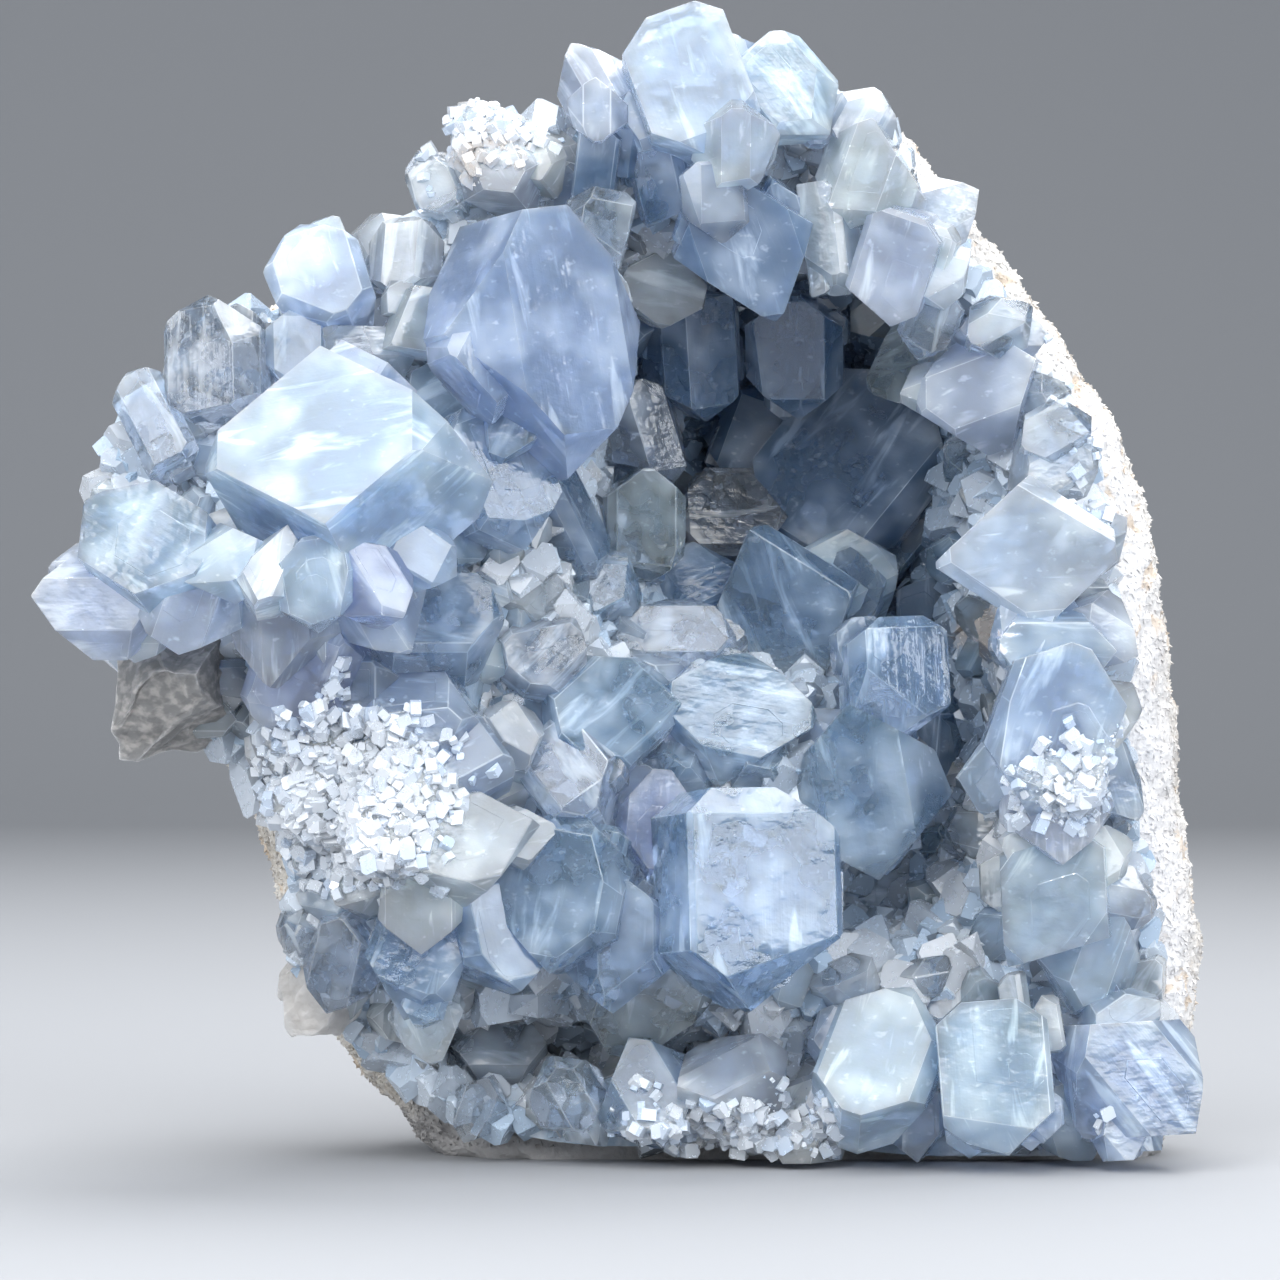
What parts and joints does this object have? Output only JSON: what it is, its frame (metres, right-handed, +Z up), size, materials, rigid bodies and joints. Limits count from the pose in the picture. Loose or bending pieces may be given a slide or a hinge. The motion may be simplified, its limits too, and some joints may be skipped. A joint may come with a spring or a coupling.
{
  "type": "celestite crystal geode",
  "caption": "Hand-sized piece of celestite geode: pale blue blocky crystals lining a hollow in a pale rock rind, standing on a small flat.",
  "frame": {"origin": "on the ground flat that the piece stands on, below its centre of mass", "axes": "+Z up, +Y away from the viewer, from the open hollow towards the rock's back, +X to the viewer's right"},
  "size_m": [0.11, 0.0726, 0.1087],
  "materials": {
    "rind": "rough pale limestone, standing in as matte_plastic because the list has no stone",
    "celestite": "clear to milky pale blue crystal with bright faces"
  },
  "bodies": {
    "root": {"rind": "rind", "crystal_crust": "celestite"}
  },
  "joints": []
}
